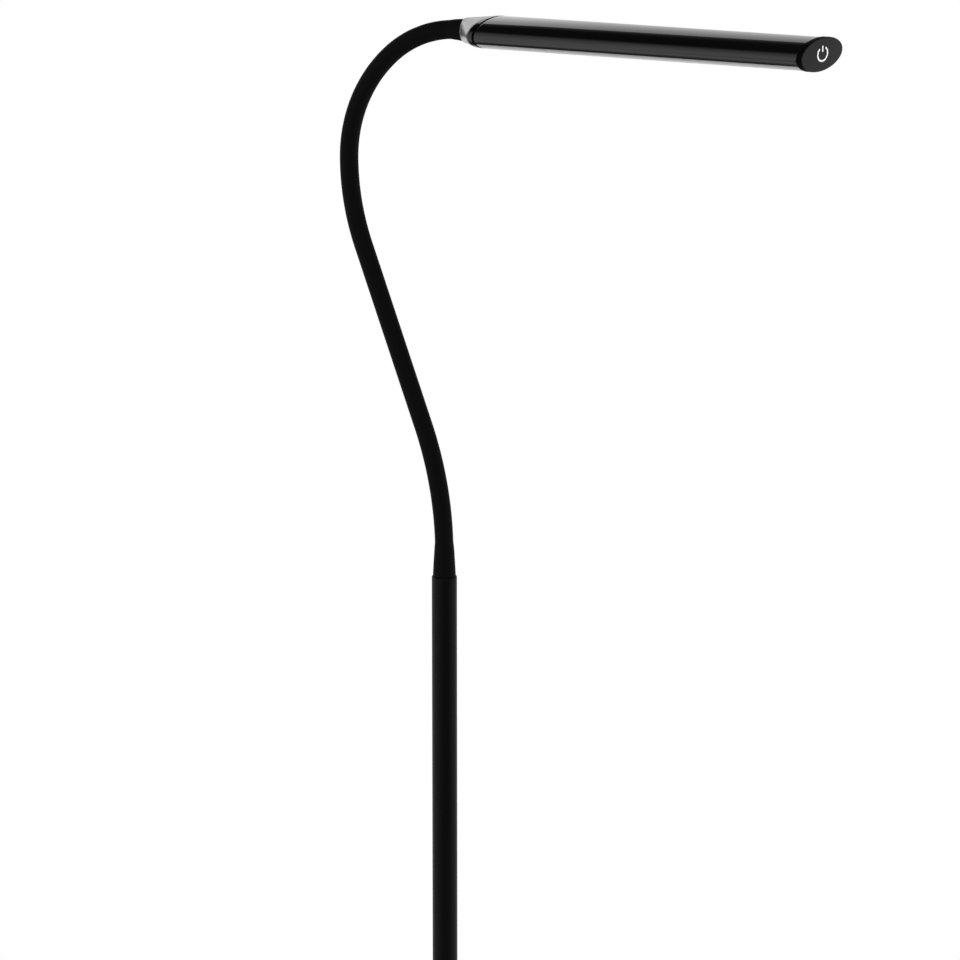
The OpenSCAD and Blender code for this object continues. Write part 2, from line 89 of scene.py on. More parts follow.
def neck_place(s):
    """Frame at a distance along the neck: Z runs along it, X points to the inside of the crown."""
    x, z, tilt = 0.0, POLE_TOP, 0.0
    for i, (length, radius) in enumerate(NECK_RUNS):
        part = s if i == len(NECK_RUNS) - 1 else min(length, s)
        if radius:
            turned = tilt + part / radius
            x += radius * (math.cos(tilt) - math.cos(turned))
            z += radius * (math.sin(turned) - math.sin(tilt))
            tilt = turned
        else:
            x += part * math.sin(tilt)
            z += part * math.cos(tilt)
        s -= part
        if s <= 0:
            break
    return Matrix.Translation((x, 0, z)) @ Matrix.Rotation(tilt, 4, "Y")


HEAD_AT = neck_place(NECK_LEN).to_translation()


def head_box(node):
    """Corners of a node of the head, measured from the middle of the collar's round end."""
    return [corner - HEAD_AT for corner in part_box(node)]


# Head: half axes of its ovals, and places along it from the collar's round end
HOUSING_LOW, HOUSING_HIGH = head_box("head_housing")
HEAD_A, HEAD_B = HOUSING_HIGH.y, HOUSING_HIGH.z
HOUSING_X, END_CAP_X = HOUSING_LOW.x, HOUSING_HIGH.x
HOUSING_LIP_Z = HOUSING_LOW.z
HOUSING_WALL = 1.6 * MM
DIFFUSER_WALL = 2.2 * MM
DIFFUSER_GAP = 0.1 * MM
SHELL_EDGE = 0.25 * MM
CAP_FACE_X, CAP_A, CAP_B = head_box("end_cap")[1]
COLLAR_LEN, COLLAR_A, COLLAR_B = head_box("neck_collar")[1]
COLLAR_R = 7.7 * MM
FERRULE_HOLE_R = 5.45 * MM
REAR_ROUND = 1.5 * MM
SEAM_W, SEAM_DEPTH = 1.5 * MM, 1.1 * MM
OVAL_SIDES = 128


# Mesh making

MERGE_GAP = 0.0001 * MM
# Angles past which an edge is shaded sharp, and past which a corner of a shell is bevelled
SHARP, CORNER = math.radians(38), math.radians(50)
# Where the middle ring of a rounded edge lies, as a share of the edge
MID_EDGE = 0.3
# Turns a flat ring to face along X: its X becomes +Y and its Y becomes +Z
FACING_X = Matrix(((0, 0, 1, 0), (1, 0, 0, 0), (0, 1, 0, 0), (0, 0, 0, 1)))


def ring_in(place, a, b=None):
    """Lays a unit ring in a place, with one radius or with two half axes."""
    return place @ Matrix.Diagonal((a, b or a, 1, 1))


def on_pole(z, r):
    return ring_in(Matrix.Translation((0, 0, z)), r)


def oval_in_head(x, a, b):
    return ring_in(Matrix.Translation(HEAD_AT + Vector((x, 0, 0))) @ FACING_X, a, b)


def edge_rings(edge):
    """Rings that round an edge: how far each lies from the end face, and how far it is drawn in."""
    return [(0.0, edge), (MID_EDGE * edge, MID_EDGE * edge), (edge, 0.0)]


def even_runs(low, high, count, margin=0.4 * MM):
    """Places of the rings between two edges, with one close to each edge to keep its rounding short."""
    low, high = low + margin, high - margin
    return [low + (high - low) * k / count for k in range(count + 1)]


def edges_among(verts):
    """Edges that join these vertices to each other."""
    inside = set(verts)
    return list(dict.fromkeys(e for v in verts for e in v.link_edges if e.other_vert(v) in inside))


def draw_out(bm, edges):
    """Extrudes edges, and returns the new vertices and the edges among them."""
    out = bmesh.ops.extrude_edge_only(bm, edges=edges)["geom"]
    verts = [part for part in out if isinstance(part, bmesh.types.BMVert)]
    return verts, edges_among(verts)


def carry_ring(bm, places, sides):
    """Draws a unit ring out through a list of matrices, and returns its first and its last edges."""
    ring = bmesh.ops.create_circle(bm, segments=sides, radius=1)["verts"]
    first = edges = edges_among(ring)
    bmesh.ops.transform(bm, matrix=places[0], verts=ring)
    for before, after in zip(places, places[1:]):
        ring, edges = draw_out(bm, edges)
        bmesh.ops.transform(bm, matrix=after @ before.inverted(), verts=ring)
    return first, edges


def closed_loop(places, sides):
    """A wall whose rings go out over its outside and back along its inside, to where they began."""
    bm = bmesh.new()
    first, last = carry_ring(bm, places, sides)
    bmesh.ops.bridge_loops(bm, edges=first + last)
    return bm


def capped_rod(places, sides):
    """A solid through its rings, with a face on both ends."""
    bm = bmesh.new()
    for rim in carry_ring(bm, places, sides):
        bmesh.ops.contextual_create(bm, geom=rim)
    return bm


def object_of(bm, name, material):
    mesh = bpy.data.meshes.new(name)
    bm.to_mesh(mesh)
    bm.free()
    mesh.materials.append(material)
    thing = bpy.data.objects.new(name, mesh)
    bpy.context.scene.collection.objects.link(thing)
    return thing


def made(bm, name, slot):
    """A piece with outward normals, smooth faces between its sharp edges, and the finish of its slot."""
    bmesh.ops.remove_doubles(bm, verts=bm.verts, dist=MERGE_GAP)
    bmesh.ops.recalc_face_normals(bm, faces=bm.faces)
    for face in bm.faces:
        face.smooth = True
    for edge in bm.edges:
        edge.smooth = not (edge.is_manifold and edge.calc_face_angle(0) > SHARP)
    piece = object_of(bm, name, FINISH[slot])
    return piece


def stand_in(piece, body, node):
    """Puts a piece on its body in place of its node."""
    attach(piece, body)
    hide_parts(node)


# Effects that several finishes share

FLOAT, COLOUR, VECTOR = "NodeSocketFloat", "NodeSocketColor", "NodeSocketVector"


def group_of(name, inputs, outputs):
    tree = bpy.data.node_groups.new(name, "ShaderNodeTree")
    for label, kind in inputs:
        tree.interface.new_socket(label, in_out="INPUT", socket_type=kind)
    for label, kind in outputs:
        tree.interface.new_socket(label, in_out="OUTPUT", socket_type=kind)
    return tree, tree.nodes.new("NodeGroupInput"), tree.nodes.new("NodeGroupOutput")


def math_node(tree, operation, *values):
    """A math node on plain numbers and other nodes' outputs."""
    node = tree.nodes.new("ShaderNodeMath")
    node.operation = operation
    for socket, value in zip(node.inputs, values):
        if isinstance(value, (int, float)):
            socket.default_value = value
        else:
            tree.links.new(value, socket)
    return node.outputs[0]


def scaled(tree, vector, factor):
    """A colour or a vector times a number from another node."""
    node = tree.nodes.new("ShaderNodeVectorMath")
    node.operation = "SCALE"
    tree.links.new(vector, node.inputs[0])
    tree.links.new(factor, node.inputs["Scale"])
    return node.outputs[0]


def noise_node(tree, vector, detail, roughness, scale=None):
    """Noise of a given scale, or of scale 1 where the vector is already stretched."""
    node = tree.nodes.new("ShaderNodeTexNoise")
    node.inputs["Detail"].default_value = detail
    node.inputs["Roughness"].default_value = roughness
    node.inputs["Scale"].default_value = 1.0
    if scale:
        tree.links.new(scale, node.inputs["Scale"])
    tree.links.new(vector, node.inputs["Vector"])
    return node.outputs["Fac"]


def skin_group():
    """Fine grain for the bump, and slow patches that shift the shade and the roughness."""
    tree, start, end = group_of(
        "fine_skin",
        (("Colour", COLOUR), ("Shade Spread", FLOAT), ("Grain Scale", FLOAT), ("Patch Scale", FLOAT),
         ("Roughness", FLOAT), ("Roughness Spread", FLOAT)),
        (("Colour", COLOUR), ("Roughness", FLOAT), ("Height", FLOAT)),
    )
    given = start.outputs
    place = tree.nodes.new("ShaderNodeTexCoord").outputs["Object"]
    grain = noise_node(tree, place, detail=3, roughness=0.55, scale=given["Grain Scale"])
    patch = noise_node(tree, place, detail=5, roughness=0.6, scale=given["Patch Scale"])
    patch_off = math_node(tree, "SUBTRACT", patch, 0.5)
    grain_off = math_node(tree, "SUBTRACT", grain, 0.5)
    both = math_node(tree, "MULTIPLY_ADD", grain_off, 0.5, patch_off)
    shade = math_node(tree, "MULTIPLY_ADD", both, given["Shade Spread"], 1.0)
    rough = math_node(tree, "MULTIPLY_ADD", both, given["Roughness Spread"], given["Roughness"])
    tree.links.new(scaled(tree, given["Colour"], shade), end.inputs["Colour"])
    tree.links.new(rough, end.inputs["Roughness"])
    tree.links.new(grain, end.inputs["Height"])
    return tree


def lines_group():
    """Fine lines across one direction, as turning or brushing leaves them."""
    tree, start, end = group_of(
        "tool_lines",
        (("Stretch", VECTOR), ("Roughness", FLOAT), ("Roughness Spread", FLOAT)),
        (("Roughness", FLOAT), ("Height", FLOAT)),
    )
    given = start.outputs
    place = tree.nodes.new("ShaderNodeTexCoord").outputs["Object"]
    stretch = tree.nodes.new("ShaderNodeVectorMath")
    stretch.operation = "MULTIPLY"
    tree.links.new(place, stretch.inputs[0])
    tree.links.new(given["Stretch"], stretch.inputs[1])
    lines = noise_node(tree, stretch.outputs[0], detail=4, roughness=0.65)
    off = math_node(tree, "SUBTRACT", lines, 0.5)
    rough = math_node(tree, "MULTIPLY_ADD", off, given["Roughness Spread"], given["Roughness"])
    tree.links.new(rough, end.inputs["Roughness"])
    tree.links.new(lines, end.inputs["Height"])
    return tree


FINE_SKIN = skin_group()
TOOL_LINES = lines_group()


# Finishes

def placed_group(tree, group, values):
    """A shared effect in a material, with its own values."""
    node = tree.nodes.new("ShaderNodeGroup")
    node.node_tree = group
    for label, value in values.items():
        node.inputs[label].default_value = value
    return node.outputs


def finish_of(name, colour, rough, spread, shade, grain, patch, bump, depth,
              metal=0.0, specular=0.5, lines=None, **sockets):
    """A finish with grain and patches, and with tool lines where it has them.

    rough and spread give the roughness and how far it varies, and shade how far the colour varies.
    grain and patch are scales per metre. bump and depth give the strength and the height of the grain.
    """
    material = bpy.data.materials.new(name)
    material.use_nodes = True
    tree = material.node_tree
    shader = tree.nodes["Principled BSDF"]
    shader.inputs["Metallic"].default_value = metal
    shader.inputs["Specular IOR Level"].default_value = specular
    for label, value in sockets.items():
        shader.inputs[label.replace("_", " ")].default_value = value
    skin = placed_group(tree, FINE_SKIN, {
        "Colour": (*colour, 1), "Shade Spread": shade, "Grain Scale": grain, "Patch Scale": patch,
        "Roughness": rough, "Roughness Spread": spread})
    surface = skin
    if lines:
        surface = placed_group(tree, TOOL_LINES, {
            "Stretch": lines, "Roughness": rough, "Roughness Spread": 2 * spread})
    dents = tree.nodes.new("ShaderNodeBump")
    dents.inputs["Strength"].default_value = bump
    dents.inputs["Distance"].default_value = depth
    tree.links.new(skin["Colour"], shader.inputs["Base Color"])
    tree.links.new(surface["Roughness"], shader.inputs["Roughness"])
    tree.links.new(surface["Height"], dents.inputs["Height"])
    tree.links.new(dents.outputs[0], shader.inputs["Normal"])
    return material


# One finish for each material slot of the record
FINISH = {
    "satin_black": finish_of(
        "satin_black_powder_coat", (0.0018, 0.0018, 0.0019), rough=0.4, spread=0.1, shade=0.3,
        grain=2600, patch=9, bump=0.16, depth=0.04 * MM, specular=0.085),
    "cast_iron": finish_of(
        "raw_cast_iron", (0.16, 0.158, 0.155), rough=0.72, spread=0.2, shade=0.5,
        grain=650, patch=30, bump=0.6, depth=0.2 * MM, metal=0.9),
    "foam": finish_of(
        "closed_cell_foam", (0.02, 0.02, 0.021), rough=0.92, spread=0.1, shade=0.6,
        grain=1400, patch=60, bump=0.8, depth=0.25 * MM, specular=0.2),
    "steel": finish_of(
        "zinc_plated_steel", (0.6, 0.61, 0.63), rough=0.3, spread=0.12, shade=0.12,
        grain=900, patch=40, bump=0.1, depth=0.03 * MM, metal=1.0, lines=(60, 60, 6000)),
    "black_plastic": finish_of(
        "moulded_black_plastic", (0.012, 0.012, 0.0125), rough=0.5, spread=0.12, shade=0.3,
        grain=2200, patch=25, bump=0.25, depth=0.06 * MM, specular=0.4),
    "white_plastic": finish_of(
        "white_ink", (0.95, 0.95, 0.94), rough=0.5, spread=0.1, shade=0.03,
        grain=3000, patch=200, bump=0.08, depth=0.03 * MM),
    "lead": finish_of(
        "wire_insulation", (0.76, 0.76, 0.74), rough=0.45, spread=0.1, shade=0.1,
        grain=1500, patch=60, bump=0.1, depth=0.04 * MM),
    "core": finish_of(
        "wound_steel_wire", (0.46, 0.46, 0.48), rough=0.38, spread=0.15, shade=0.2,
        grain=900, patch=40, bump=0.4, depth=0.1 * MM, metal=1.0, lines=(30, 30, 2500)),
    "sleeve": finish_of(
        "matte_black_sleeve", (0.0022, 0.0022, 0.0023), rough=0.62, spread=0.12, shade=0.35,
        grain=3200, patch=22, bump=0.3, depth=0.06 * MM, specular=0.05),
    "collar": finish_of(
        "satin_nickel", (0.43, 0.43, 0.44), rough=0.36, spread=0.08, shade=0.06,
        grain=1800, patch=60, bump=0.05, depth=0.02 * MM, metal=1.0, lines=(5200, 60, 60)),
    "gloss_black": finish_of(
        "gloss_black_shell", (0.0022, 0.0022, 0.0023), rough=0.045, spread=0.03, shade=0.3,
        grain=500, patch=12, bump=0.02, depth=0.03 * MM, specular=0.62),
    "opal": finish_of(
        "opal_diffuser", (0.8, 0.8, 0.79), rough=0.38, spread=0.08, shade=0.04,
        grain=2400, patch=20, bump=0.08, depth=0.03 * MM,
        Subsurface_Weight=0.3, Subsurface_Scale=4 * MM),
    "carrier": finish_of(
        "extruded_aluminium", (0.68, 0.69, 0.7), rough=0.34, spread=0.12, shade=0.08,
        grain=1200, patch=30, bump=0.1, depth=0.03 * MM, metal=1.0, lines=(40, 5000, 5000)),
    "board_white": finish_of(
        "white_solder_mask", (0.82, 0.82, 0.8), rough=0.36, spread=0.08, shade=0.05,
        grain=2600, patch=90, bump=0.06, depth=0.02 * MM),
    "led": finish_of(
        "yellow_phosphor", (0.82, 0.68, 0.2), rough=0.3, spread=0.1, shade=0.15,
        grain=4000, patch=400, bump=0.15, depth=0.02 * MM),
    "board_green": finish_of(
        "green_solder_mask", (0.02, 0.16, 0.06), rough=0.34, spread=0.1, shade=0.2,
        grain=2200, patch=120, bump=0.1, depth=0.03 * MM),
    "copper": finish_of(
        "bare_copper", (0.72, 0.4, 0.24), rough=0.3, spread=0.15, shade=0.2,
        grain=900, patch=150, bump=0.1, depth=0.03 * MM, metal=1.0),
    "end_cap": finish_of(
        "satin_grey_cap", (0.014, 0.014, 0.0144), rough=0.55, spread=0.1, shade=0.25,
        grain=3000, patch=40, bump=0.2, depth=0.04 * MM, specular=0.08),
}

# Second finish of the head's caps: in the groove of one and round the edge of the other. Its near black, barely
# reflecting surface is partly the caps' own dark seams and partly painted shade in the gaps at the housing's ends.
SEAM_SHADE_FINISH = finish_of(
    "black_seam_painted_shade", (0.0012, 0.0012, 0.0013), rough=0.6, spread=0.1, shade=0.25,
    grain=3000, patch=40, bump=0.2, depth=0.04 * MM, specular=0.03)


def paint_shade_under_lip(material, lip_shade, below_lip):
    """Paints shade on the diffuser: darkens it from a height below the housing's lip up to the lip, which shades
    it.
    """
    tree = material.node_tree
    base = tree.nodes["Principled BSDF"].inputs["Base Color"]
    colour = base.links[0].from_socket
    place = tree.nodes.new("ShaderNodeSeparateXYZ")
    tree.links.new(tree.nodes.new("ShaderNodeTexCoord").outputs["Object"], place.inputs[0])
    share = tree.nodes.new("ShaderNodeMapRange")
    lip_z = HEAD_AT.z + HOUSING_LIP_Z
    for label, value in (("From Min", lip_z - below_lip), ("From Max", lip_z),
                         ("To Min", 1.0), ("To Max", lip_shade)):
        share.inputs[label].default_value = value
    tree.links.new(place.outputs["Z"], share.inputs["Value"])
    tree.links.new(scaled(tree, colour, share.outputs[0]), base)


# Painted shade on the diffuser, darkest at the housing's lip
paint_shade_under_lip(FINISH["opal"], lip_shade=0.5, below_lip=4.1 * MM)

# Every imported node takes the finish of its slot
for part in frame["record"]["subparts"]:
    node = frame["nodes"][part["node"]]
    node.data.materials.clear()
    node.data.materials.append(FINISH[part["material_slot"]])


# Base and pole

def base_shell():
    """Sheet cover of the base: an upright rim, a rounded shoulder and a shallow rise to a flat crown."""
    low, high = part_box("base_cover")
    rim_r, foot, top = high.y, low.z, high.z
    rim_top, shoulder, steps = 12 * MM, 6 * MM, 14
    crown_r, hole_r = 17 * MM, 5.2 * MM
    wall, hem = 1.5 * MM, 0.5 * MM

    def shoulder_arc(inset):
        r = shoulder - inset
        turns = [math.pi / 2 * k / steps for k in range(steps + 1)]
        return [(rim_top + math.sin(t) * r, rim_r - shoulder + math.cos(t) * r) for t in turns]

    profile = [(foot + rise, rim_r - inset) for rise, inset in edge_rings(hem)]
    profile += [(foot + 2 * hem, rim_r)] + shoulder_arc(0)
    profile += [(top, crown_r), (top, hole_r), (top - wall, hole_r), (top - wall, crown_r)]
    profile += shoulder_arc(wall)[::-1] + [(foot, rim_r - wall)]
    bm = closed_loop([on_pole(z, r) for z, r in profile], sides=160)
    stand_in(made(bm, "base_shell", "satin_black"), STAND_BODY, "base_cover")


def foam_pad():
    """Die-cut foam under the base, whose pressed edge swells a little."""
    low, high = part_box("base_pad")
    swell, steps = 0.4 * MM, 8
    places = []
    for k in range(steps + 1):
        share = k / steps
        z = low.z + (high.z - low.z) * share
        places.append(on_pole(z, high.x - swell * (2 * share - 1) ** 2))
    bm = capped_rod(places, sides=128)
    stand_in(made(bm, "foam_pad", "foam"), STAND_BODY, "base_pad")


def pole_tube(name, node):
    """Tube with broken edges at both ends."""
    low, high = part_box(node)
    r, wall, edge = high.x, 1.2 * MM, 0.35 * MM
    rings = edge_rings(edge)
    places = [on_pole(low.z + run, r - inset) for run, inset in rings]
    places += [on_pole(z, r) for z in even_runs(low.z + edge, high.z - edge, count=10)]
    places += [on_pole(high.z - run, r - inset) for run, inset in reversed(rings)]
    places += [on_pole(z, r - wall) for z in (high.z, low.z)]
    bm = closed_loop(places, sides=96)
    stand_in(made(bm, name, "satin_black"), STAND_BODY, node)


def gland_bush():
    """Flanged bush in the back of the base."""
    low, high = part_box("cord_gland")
    length, axis_z = high.x - low.x, (low.z + high.z) / 2
    flange_r, flange_t = high.y, 1.5 * MM
    body_r, bore_r = 4.5 * MM, 3.1 * MM
    edge = 0.4 * MM
    rings = edge_rings(edge)
    profile = [(run, flange_r - inset) for run, inset in rings]
    profile += [(flange_t, flange_r), (flange_t, body_r), (length, body_r), (length, bore_r)]
    profile += [(run, bore_r + inset) for run, inset in reversed(rings)]
    places = [ring_in(Matrix.Translation((low.x + x, 0, axis_z)) @ FACING_X, r) for x, r in profile]
    bm = closed_loop(places, sides=64)
    stand_in(made(bm, "gland_bush", "black_plastic"), STAND_BODY, "cord_gland")


base_shell()
foam_pad()
pole_tube("lower_tube", "lower_pole")
pole_tube("upper_tube", "upper_pole")
gland_bush()


# Neck: over each joint of the core, a stretch of sleeve and one of lead, from mid link to mid link

SLEEVE_R, SLEEVE_WALL = 5.85 * MM, 0.85 * MM
FOOT_R, FOOT_LEN = 7.3 * MM, 22 * MM
TIP_R, TIP_LEN = 6.95 * MM, 10 * MM
FLARE_POWER = 0.75
SEAT_R, SEAT_TOP = 5.75 * MM, 8.35 * MM
LEAD_R, LEAD_START, LEAD_TAIL = 1.6 * MM, -24 * MM, 10 * MM
# How far a bend reaches along the neck to both sides of its joint
BEND_REACH = 13.5 * MM
# Distance between rings, on the sleeve's outside and where nothing shows
RING_GAP, HIDDEN_RING_GAP = 1.5 * MM, 4 * MM


def stretch_ends(k, start, end):
    """Where the stretch over joint k begins and stops along the neck."""
    low = start if k == 0 else (JOINT_AT[k - 1] + JOINT_AT[k]) / 2
    high = end if k == JOINTS - 1 else (JOINT_AT[k] + JOINT_AT[k + 1]) / 2
    return low, high


def steps_between(low, high, gap):
    count = max(2, math.ceil((high - low) / gap))
    return [low + (high - low) * i / count for i in range(count + 1)]


def sleeve_radius(s):
    """Outer radius of the sleeve, which flares at its foot and at its tip."""
    foot = max(0.0, 1 - s / FOOT_LEN) ** FLARE_POWER
    tip = max(0.0, 1 - (NECK_LEN - s) / TIP_LEN) ** FLARE_POWER
    return SLEEVE_R + (FOOT_R - SLEEVE_R) * foot + (TIP_R - SLEEVE_R) * tip


def bend_over(piece, k):
    """Finds the places on the neck on both sides of joint k, and bakes a stretch's place into its mesh."""
    start = neck_place(JOINT_AT[k] - BEND_REACH).to_translation()
    end = neck_place(JOINT_AT[k] + BEND_REACH).to_translation()
    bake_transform(piece)


def sleeve_stretch(k):
    """Sleeve over joint k. The first one widens inside to sit on the lower ferrule."""
    low, high = stretch_ends(k, 0.0, NECK_LEN)
    inner_low = SEAT_TOP if k == 0 else low
    rings = [(s, sleeve_radius(s)) for s in steps_between(low, high, RING_GAP)]
    rings += [(s, SLEEVE_R - SLEEVE_WALL) for s in steps_between(inner_low, high, HIDDEN_RING_GAP)[::-1]]
    if k == 0:
        rings += [(SEAT_TOP, SEAT_R), (low, SEAT_R)]
    bm = closed_loop([ring_in(neck_place(s), r) for s, r in rings], sides=48)
    piece = made(bm, f"sleeve_stretch_{k + 1}", "sleeve")
    bend_over(piece, k)
    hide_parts("neck_sleeve")


def lead_stretch(k):
    """Lead inside the core, over joint k."""
    low, high = stretch_ends(k, LEAD_START, NECK_LEN + LEAD_TAIL)
    places = [ring_in(neck_place(s), LEAD_R) for s in steps_between(low, high, HIDDEN_RING_GAP)]
    piece = made(capped_rod(places, sides=16), f"lead_stretch_{k + 1}", "lead")
    bend_over(piece, k)
    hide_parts("neck_lead")


for joint in range(JOINTS):
    sleeve_stretch(joint)
    lead_stretch(joint)


# Head

def collar():
    """Bright collar that opens from the round neck to the oval head, a little fuller than a cone."""
    edge, fullness, steps = 0.5 * MM, 0.12, 16
    places = [oval_in_head(run, COLLAR_R - inset, COLLAR_R - inset) for run, inset in edge_rings(edge)]
    for k in range(1, steps + 1):
        share = k / steps
        flare = share * (1 + fullness - fullness * share)
        places.append(oval_in_head(edge + (COLLAR_LEN - edge) * share,
                                   COLLAR_R + (COLLAR_A - COLLAR_R) * flare,
                                   COLLAR_R + (COLLAR_B - COLLAR_R) * flare))
    places += [oval_in_head(x, FERRULE_HOLE_R, FERRULE_HOLE_R) for x in (COLLAR_LEN, 0)]
    bm = closed_loop(places, OVAL_SIDES)
    stand_in(made(bm, "collar", "collar"), HEAD_BODY, "neck_collar")


def back_cap():
    """Gloss cap that rounds the collar's oval out to the housing's, with a groove before the housing."""
    groove, edge, steps = 0.15 * MM, 0.06 * MM, 8
    lip = HOUSING_X - SEAM_W
    places = [oval_in_head(COLLAR_LEN, COLLAR_A - groove, COLLAR_B - groove)]
    for k in range(steps + 1):
        share = k / steps
        round_out = math.sin(math.pi / 2 * share)
        places.append(oval_in_head(COLLAR_LEN + groove + (REAR_ROUND - groove) * share,
                                   COLLAR_A + (HEAD_A - COLLAR_A) * round_out,
                                   COLLAR_B + (HEAD_B - COLLAR_B) * round_out))
    middle = even_runs(COLLAR_LEN + REAR_ROUND, lip - edge, count=2, margin=edge)
    places += [oval_in_head(x, HEAD_A, HEAD_B) for x in middle]
    places += [oval_in_head(lip - run, HEAD_A - inset, HEAD_B - inset)
               for run, inset in reversed(edge_rings(edge))]
    places += [oval_in_head(x, HEAD_A - SEAM_DEPTH, HEAD_B - SEAM_DEPTH) for x in (lip, HOUSING_X)]
    places += [oval_in_head(x, FERRULE_HOLE_R, FERRULE_HOLE_R) for x in (HOUSING_X, COLLAR_LEN)]
    bm = closed_loop(places, OVAL_SIDES)
    # Faces in the groove take the second finish, which is partly painted shade in the gap
    for face in bm.faces:
        x = face.calc_center_median().x - HEAD_AT.x
        face.material_index = 1 if lip - edge < x < HOUSING_X - edge else 0
    cap = made(bm, "back_cap", "gloss_black")
    cap.data.materials.append(SEAM_SHADE_FINISH)
    stand_in(cap, HEAD_BODY, "rear_cap")


def oval_shell(name, slot, node, cut_z, keep_above, wall):
    """Part of the oval above or below a cut, drawn out along the head, with a wall and broken edges."""
    length = END_CAP_X - HOUSING_X
    start = HEAD_AT + Vector((HOUSING_X, 0, 0))
    bm = bmesh.new()
    ring = bmesh.ops.create_circle(bm, segments=OVAL_SIDES * 2, radius=1)["verts"]
    bmesh.ops.transform(bm, matrix=oval_in_head(HOUSING_X, HEAD_A, HEAD_B), verts=ring)
    bmesh.ops.bisect_plane(bm, geom=bm.verts[:] + bm.edges[:], plane_co=HEAD_AT + Vector((0, 0, cut_z)),
                           plane_no=(0, 0, 1), clear_inner=keep_above, clear_outer=not keep_above)
    edges = bm.edges[:]
    runs = [0.0] + even_runs(0.0, length, count=10, margin=3 * SHELL_EDGE) + [length]
    for before, after in zip(runs, runs[1:]):
        verts, edges = draw_out(bm, edges)
        bmesh.ops.translate(bm, verts=verts, vec=(after - before, 0, 0))
    bmesh.ops.recalc_face_normals(bm, faces=bm.faces)
    outwards = bm.faces[0].calc_center_median() - start
    if bm.faces[0].normal.dot(outwards) < 0:
        bmesh.ops.reverse_faces(bm, faces=bm.faces)
    bmesh.ops.solidify(bm, geom=bm.faces[:], thickness=wall)
    bmesh.ops.recalc_face_normals(bm, faces=bm.faces)
    corners = [e for e in bm.edges if e.is_manifold and e.calc_face_angle(0) > CORNER]
    bmesh.ops.bevel(bm, geom=corners, offset=SHELL_EDGE, affect="EDGES", segments=3, profile=0.5,
                    material=-1)
    stand_in(made(bm, name, slot), HEAD_BODY, node)


def touch_cap():
    """End cap with a softened edge and a flat satin face."""
    soft, back, steps = 0.8 * MM, 0.3 * MM, 6
    places = [oval_in_head(END_CAP_X, CAP_A - back, CAP_B - back),
              oval_in_head(END_CAP_X + back, CAP_A, CAP_B)]
    for k in range(steps + 1):
        turn = math.pi / 2 * k / steps
        inset = soft * (1 - math.cos(turn))
        x = CAP_FACE_X - soft + soft * math.sin(turn)
        places.append(oval_in_head(x, CAP_A - inset, CAP_B - inset))
    bm = capped_rod(places, OVAL_SIDES)
    # The recessed neck and the half of the rounding away from the face take the second finish, which is partly
    # painted shade
    satin_from = HEAD_AT.x + CAP_FACE_X - soft / 2
    for face in bm.faces:
        face.material_index = 0 if face.calc_center_median().x > satin_from else 1
    cap = made(bm, "touch_cap", "end_cap")
    cap.data.materials.append(SEAM_SHADE_FINISH)
    stand_in(cap, HEAD_BODY, "end_cap")


def power_sign():
    """Printed ON/OFF sign: an open ring with an upright bar, drawn wide on the wide cap."""
    ring_r, stroke, ink = 4.1 * MM, 0.95 * MM, 0.08 * MM
    half_opening = math.radians(36)
    bar_len, bar_z = 3.6 * MM, 3.05 * MM
    widening, sign_z = 1.76, 0.35 * MM
    upright = Matrix(((1, 0, 0, 0), (0, 0, 1, 0), (0, 1, 0, 0), (0, 0, 0, 1)))
    section_size = Matrix.Diagonal((2 * ink, stroke, 1, 1))
    section_place = Matrix.Translation((0, 0, ring_r)) @ upright @ section_size
    bar_place = Matrix.Translation((0, 0, bar_z)) @ Matrix.Diagonal((2 * ink, stroke, bar_len, 1))
    sign_place = Matrix.Translation(HEAD_AT + Vector((CAP_FACE_X, 0, sign_z)))
    bm = bmesh.new()
    section = bmesh.ops.create_grid(bm, x_segments=1, y_segments=1, size=0.5)["verts"]
    bmesh.ops.transform(bm, matrix=section_place, verts=section)
    bmesh.ops.rotate(bm, verts=section, cent=(0, 0, 0), matrix=Matrix.Rotation(half_opening, 3, "X"))
    bmesh.ops.spin(bm, geom=bm.verts[:] + bm.edges[:] + bm.faces[:], cent=(0, 0, 0), axis=(1, 0, 0),
                   angle=2 * (math.pi - half_opening), steps=48)
    bar = bmesh.ops.create_cube(bm, size=1)["verts"]
    bmesh.ops.transform(bm, matrix=bar_place, verts=bar)
    bmesh.ops.scale(bm, vec=(1, widening, 1), verts=bm.verts)
    bmesh.ops.transform(bm, matrix=sign_place, verts=bm.verts)
    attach(made(bm, "power_sign", "white_plastic"), HEAD_BODY)


collar()
back_cap()
oval_shell("housing_shell", "gloss_black", "head_housing", cut_z=HOUSING_LIP_Z, keep_above=True,
           wall=HOUSING_WALL)
oval_shell("opal_strip", "opal", "diffuser", cut_z=HOUSING_LIP_Z - DIFFUSER_GAP, keep_above=False,
           wall=DIFFUSER_WALL)
touch_cap()
power_sign()


# Studio

# Turn and rise of the photograph's view
VIEW_AZ, VIEW_EL = math.radians(27.60), math.radians(13.29)
WHITE = (1, 1, 1, 1)


def shader_mix(tree, factor, a, b):
    node = tree.nodes.new("ShaderNodeMixShader")
    for socket, value in zip(node.inputs, (factor, a, b)):
        tree.links.new(value, socket)
    return node.outputs[0]


def seen_directly(tree):
    """1 for rays from the camera and for rays that a mirror or glass sends on."""
    ray = tree.nodes.new("ShaderNodeLightPath").outputs
    mirror = math_node(tree, "MAXIMUM", ray["Is Glossy Ray"], ray["Is Transmission Ray"])
    return math_node(tree, "MAXIMUM", ray["Is Camera Ray"], mirror)


